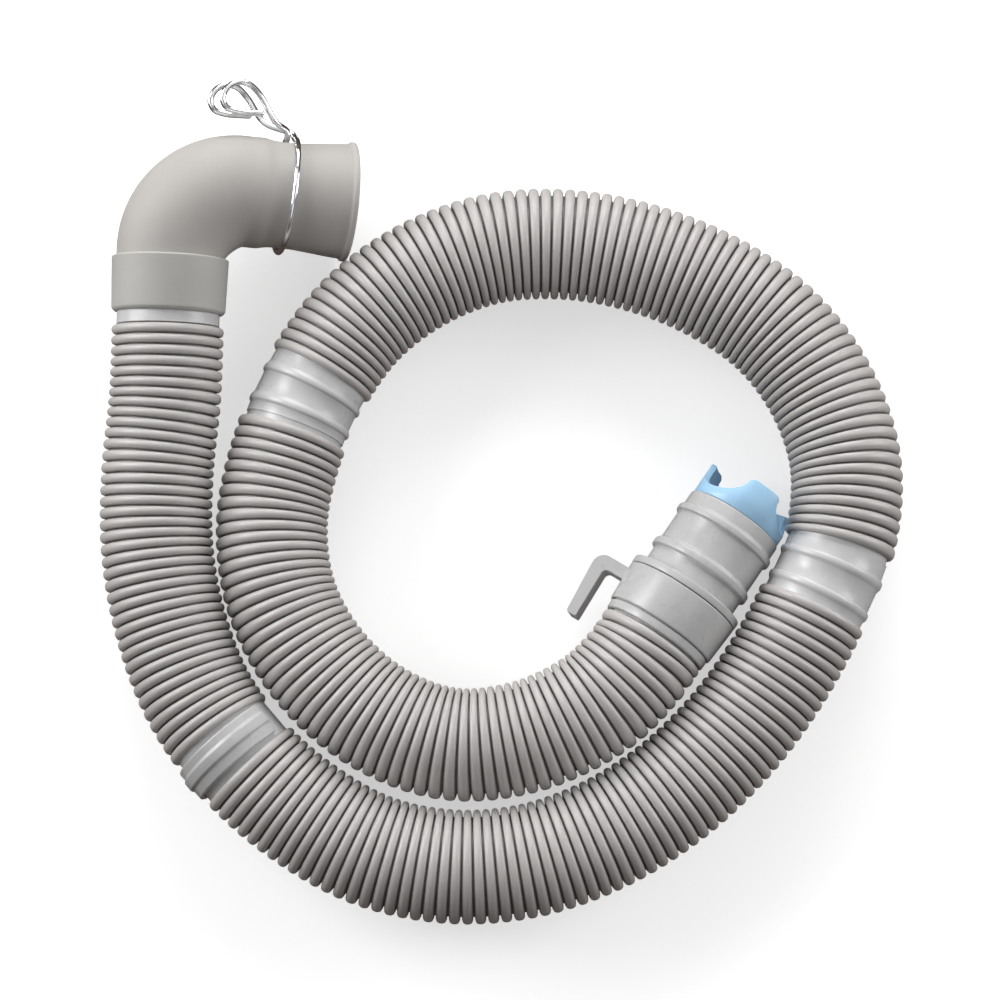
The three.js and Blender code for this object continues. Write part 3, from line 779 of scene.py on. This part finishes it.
def linear(red, green, blue):
    """A display colour as the linear one that a shader takes."""
    return tuple(
        c / 12.92 if c <= 0.04045 else ((c + 0.055) / 1.055) ** 2.4
        for c in (red / 255, green / 255, blue / 255)
    ) + (1.0,)


def scaled(colour, factor):
    return tuple(min(c * factor, 1.0) for c in colour[:3]) + (1.0,)


class Nodes:
    """A short way to write a material's node tree."""

    def __init__(self, name):
        self.material = bpy.data.materials.new(name)
        self.material.use_nodes = True
        self.tree = self.material.node_tree
        self.shader = self.tree.nodes["Principled BSDF"]
        self.place = self.tree.nodes.new("ShaderNodeTexCoord").outputs["Object"]

    def add(self, kind, inputs=(), **settings):
        made = self.tree.nodes.new(kind)
        for key, value in settings.items():
            setattr(made, key, value)
        for key, value in dict(inputs).items():
            self.feed(made.inputs[key], value)
        return made

    def feed(self, socket, value):
        if isinstance(value, bpy.types.NodeSocket):
            self.tree.links.new(value, socket)
        else:
            socket.default_value = value

    def noise(self, scale, detail=3.0):
        made = self.add(
            "ShaderNodeTexNoise", {"Scale": scale, "Detail": detail, "Vector": self.place}
        )
        return made.outputs["Fac"]

    def spread(self, value, low, high, to_low, to_high):
        made = self.add(
            "ShaderNodeMapRange",
            {"Value": value, "From Min": low, "From Max": high, "To Min": to_low, "To Max": to_high},
        )
        return made.outputs["Result"]

    def mix(self, factor, first, second):
        made = self.add("ShaderNodeMix", data_type="RGBA")
        self.feed(made.inputs["Factor"], factor)
        self.feed(made.inputs[6], first)
        self.feed(made.inputs[7], second)
        return made.outputs[2]

    def bump(self, height, strength, distance, normal=None):
        made = self.add(
            "ShaderNodeBump", {"Height": height, "Strength": strength, "Distance": distance}
        )
        if normal is not None:
            self.feed(made.inputs["Normal"], normal)
        return made.outputs["Normal"]


def moulded(name, colour, rough, grain=0.25, edge_highlight=0.3, subsurface=0.0, valley=None):
    """A moulded plastic: cloudy colour, a fine moulding grain, outward edges lightened a little as a
    painted highlight, and painted shade in the corrugation valleys where a valley colour is given.
    """
    n = Nodes(name)
    clouds = n.spread(n.noise(22, 4), 0.35, 0.65, 0, 1)
    base = n.mix(clouds, scaled(colour, 0.95), scaled(colour, 1.03))
    specks = n.spread(n.noise(900, 2), 0.42, 0.6, 0, 1)
    base = n.mix(n.spread(specks, 0, 1, 0, 0.10), base, scaled(colour, 0.86))
    # Painted highlight: outward edges are lightened towards a brighter copy of the colour.
    edge = n.add("ShaderNodeAttribute", attribute_name="edge").outputs["Fac"]
    base = n.mix(n.spread(edge, 0.2, 1, 0, edge_highlight), base, scaled(colour, 1.3))
    # Painted shade: the corrugation valleys are darkened towards the valley colour, less towards the
    # crests.
    if valley is not None:
        depth = n.add("ShaderNodeAttribute", attribute_name="crest").outputs["Fac"]
        shade = n.spread(depth, 0.0, 0.75, 0.85, 0)
        base = n.mix(shade, base, valley)
    n.feed(n.shader.inputs["Base Color"], base)
    hazes = n.noise(140, 3)
    n.feed(n.shader.inputs["Roughness"], n.spread(hazes, 0.3, 0.7, rough - 0.05, rough + 0.07))
    if subsurface:
        n.shader.inputs["Subsurface Weight"].default_value = subsurface
        n.shader.inputs["Subsurface Radius"].default_value = (0.004, 0.005, 0.006)
        n.shader.inputs["Subsurface Scale"].default_value = 0.6
    skin = n.bump(n.noise(2600, 2), grain, 0.00008)
    n.feed(n.shader.inputs["Normal"], n.bump(n.noise(180, 2), 0.045, 0.0003, skin))
    return n.material


def bright_wire(name):
    """Plated spring wire: mirror-like, with faint draw lines and dull patches."""
    n = Nodes(name)
    tint = n.mix(n.spread(n.noise(300, 3), 0.4, 0.6, 0, 1), linear(246, 247, 248), linear(228, 230, 233))
    n.feed(n.shader.inputs["Base Color"], tint)
    n.shader.inputs["Metallic"].default_value = 1.0
    n.feed(n.shader.inputs["Roughness"], n.spread(n.noise(700, 4), 0.35, 0.7, 0.10, 0.24))
    n.feed(n.shader.inputs["Normal"], n.bump(n.noise(1800, 3), 0.12, 0.00005))
    return n.material


def rubber(name):
    """Black sealing rubber with a dusty bloom."""
    n = Nodes(name)
    bloom = n.spread(n.noise(400, 5), 0.45, 0.7, 0, 0.5)
    n.feed(n.shader.inputs["Base Color"], n.mix(bloom, linear(36, 36, 37), linear(72, 72, 74)))
    n.feed(n.shader.inputs["Roughness"], n.spread(n.noise(900, 3), 0.3, 0.7, 0.65, 0.85))
    n.feed(n.shader.inputs["Normal"], n.bump(n.noise(3000, 2), 0.3, 0.00006))
    return n.material


HOSE_COLOUR = linear(197, 194, 192)
# Each material's edge lightening is a painted highlight on its outward edges.
materials = {
    # The hose's valley colour is painted shade for its corrugation valleys.
    "hose": moulded("hose_plastic", HOSE_COLOUR, 0.38, edge_highlight=0.0, valley=scaled(HOSE_COLOUR, 0.28)),
    "cuff": moulded("cuff_plastic", linear(209, 209, 210), 0.30, grain=0.06, edge_highlight=0.2),
    "collar": moulded("collar_plastic", linear(184, 183, 179), 0.55, edge_highlight=0.6),
    "elbow": moulded("elbow_vinyl", linear(182, 179, 175), 0.58, grain=0.35),
    "fitting": moulded("fitting_plastic", linear(196, 196, 196), 0.28, grain=0.08, edge_highlight=0.3),
    "crown": moulded("crown_plastic", linear(172, 216, 250), 0.33, grain=0.1, subsurface=0.15),
    "wire": bright_wire("plated_wire"),
    "seal": rubber("seal_rubber"),
}


def paint(piece, *names):
    for name in names:
        piece.data.materials.append(materials[name])


paint(hose, "hose", "cuff")
paint(collar, "collar")
paint(elbow, "elbow")
paint(crown, "crown")
for piece in (clip, connector, hook_band, hook):
    paint(piece, "fitting")
for piece in wires:
    paint(piece, "wire")
for node in ("elbow_seal", "end_seal", "crown_seal"):
    for slot in frame["nodes"][node].material_slots:
        slot.material = materials["seal"]

# ------------------------------------------------------------------ floor and light

FLOOR_SIZE = 6.0
floor_mesh = bpy.data.meshes.new("floor")
half = FLOOR_SIZE / 2
low = CAD_BOX[0][2]
floor_mesh.from_pydata(
    [(-half, -half, low), (half, -half, low), (half, half, low), (-half, half, low)], [], [(0, 1, 2, 3)]
)
floor = bpy.data.objects.new("floor", floor_mesh)
bpy.context.scene.collection.objects.link(floor)
floor_nodes = Nodes("floor_paper")
floor_nodes.feed(
    floor_nodes.shader.inputs["Base Color"],
    floor_nodes.mix(floor_nodes.noise(3), (0.83, 0.83, 0.83, 1), (0.85, 0.85, 0.85, 1)),
)
floor_nodes.shader.inputs["Emission Color"].default_value = (1, 1, 1, 1)
floor_nodes.shader.inputs["Emission Strength"].default_value = 0.56
floor_nodes.shader.inputs["Roughness"].default_value = 0.9
floor_nodes.shader.inputs["Specular IOR Level"].default_value = 0.1
floor_mesh.materials.append(floor_nodes.material)
floor.visible_diffuse = False
floor.visible_glossy = False


LIGHT_AIM = Vector((0, 0, 0.02))


def softbox(name, place, size, power, lights=True):
    """A square area light on the object; where lights is false, it only shows in reflections."""
    data = bpy.data.lights.new(name, "AREA")
    data.size = size
    data.energy = power
    lamp = bpy.data.objects.new(name, data)
    lamp.location = place
    lamp.rotation_euler = (LIGHT_AIM - Vector(place)).to_track_quat("-Z", "Y").to_euler()
    lamp.visible_diffuse = lights
    bpy.context.scene.collection.objects.link(lamp)


softbox("left_light", (-1.12, 0.40, 0.48), 0.8, 12)
softbox("back_light", (0.05, 1.22, 0.50), 0.8, 12)
softbox("right_light", (1.20, 0.30, 0.46), 0.7, 8)
for number, (across, back) in enumerate([(-0.72, 0), (0.72, 0), (0, 0.62), (0, -0.85)]):
    softbox(f"gleam_{number}", (across, back, 1.15), 0.7, 1.6, lights=False)
softbox("stripe_light", (-0.80, 0.54, 0.70), 0.4, 4, lights=False)

# The sky by height: warm and dark low down, even above, with a dark patch overhead.
SKY = [
    (0, (0.068, 0.052, 0.045)), (0.8, (0.3, 0.3, 0.3)),
    (0.955, (0.3, 0.3, 0.3)), (0.985, (0.02, 0.02, 0.02)),
]

world = bpy.data.worlds.new("studio")
world.use_nodes = True
sky = world.node_tree.nodes
links = world.node_tree.links
height = sky.new("ShaderNodeSeparateXYZ")
ramp = sky.new("ShaderNodeValToRGB")
links.new(sky.new("ShaderNodeTexCoord").outputs["Generated"], height.inputs[0])
links.new(height.outputs["Z"], ramp.inputs["Fac"])
links.new(ramp.outputs["Color"], sky["Background"].inputs["Color"])
stops = ramp.color_ramp.elements
for number, (position, colour) in enumerate(SKY):
    stop = stops[number] if number < 2 else stops.new(position)
    stop.position = position
    stop.color = (*colour, 1)
sky["Background"].inputs["Strength"].default_value = 1.0
bpy.context.scene.world = world
bpy.context.scene.view_settings.view_transform = "Standard"

bpy.context.view_layer.update()
